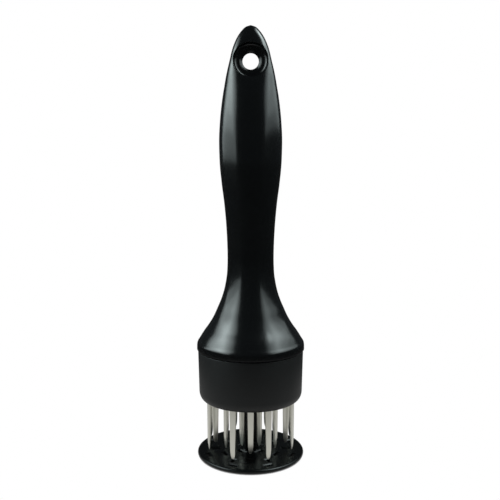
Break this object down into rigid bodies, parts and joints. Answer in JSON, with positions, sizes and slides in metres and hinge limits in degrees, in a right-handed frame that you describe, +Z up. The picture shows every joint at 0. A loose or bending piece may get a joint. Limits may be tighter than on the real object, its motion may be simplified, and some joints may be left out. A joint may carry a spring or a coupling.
{
  "type": "blade meat tenderizer",
  "caption": "Upright push-down meat tenderizer: a bell-shaped handle with a hanging hole, a screw-off collar, a ring pattern of flat steel blades and a sprung slotted guard disc",
  "frame": {"origin": "centre of the guard disc's underside, the face on which the tool stands", "axes": "+Z up the tool's long axis from the guard to the tip of the handle, +Y from the pictured front to the back along the hanging hole, +X to the right as pictured"},
  "size_m": [0.052, 0.052, 0.2048],
  "materials": {
    "gloss_black": "high-gloss moulded ABS",
    "satin_black": "fine matt moulded ABS",
    "inner_black": "plain moulded nylon",
    "blade_steel": "ground stainless steel strip",
    "screw_steel": "plain stainless steel"
  },
  "bodies": {
    "handle_body": {"handle": "gloss_black", "collar": "satin_black", "blade_holder": "inner_black", "clamp_plate": "inner_black", "plate_screws": "screw_steel", "return_spring": "screw_steel", "blade_01": "blade_steel", "blade_02": "blade_steel", "blade_03": "blade_steel", "blade_04": "blade_steel", "blade_05": "blade_steel", "blade_06": "blade_steel", "blade_07": "blade_steel", "blade_08": "blade_steel", "blade_09": "blade_steel", "blade_10": "blade_steel", "blade_11": "blade_steel", "blade_12": "blade_steel", "blade_13": "blade_steel", "blade_14": "blade_steel", "blade_15": "blade_steel", "blade_16": "blade_steel", "blade_17": "blade_steel", "blade_18": "blade_steel", "blade_19": "blade_steel", "blade_20": "blade_steel", "blade_21": "blade_steel", "blade_22": "blade_steel", "blade_23": "blade_steel", "blade_24": "blade_steel"},
    "guard_body": {"guard": "gloss_black", "stop_washer": "screw_steel", "post_screw": "screw_steel"}
  },
  "joints": [
    {"name": "guard_slide", "type": "slide", "parent": "handle_body", "child": "guard_body", "axis": [0, 0, 1], "range_m": [0, 0.026], "stiffness_N_per_m": 420, "springref_m": -0.018, "deforming": ["return_spring"]}
  ]
}
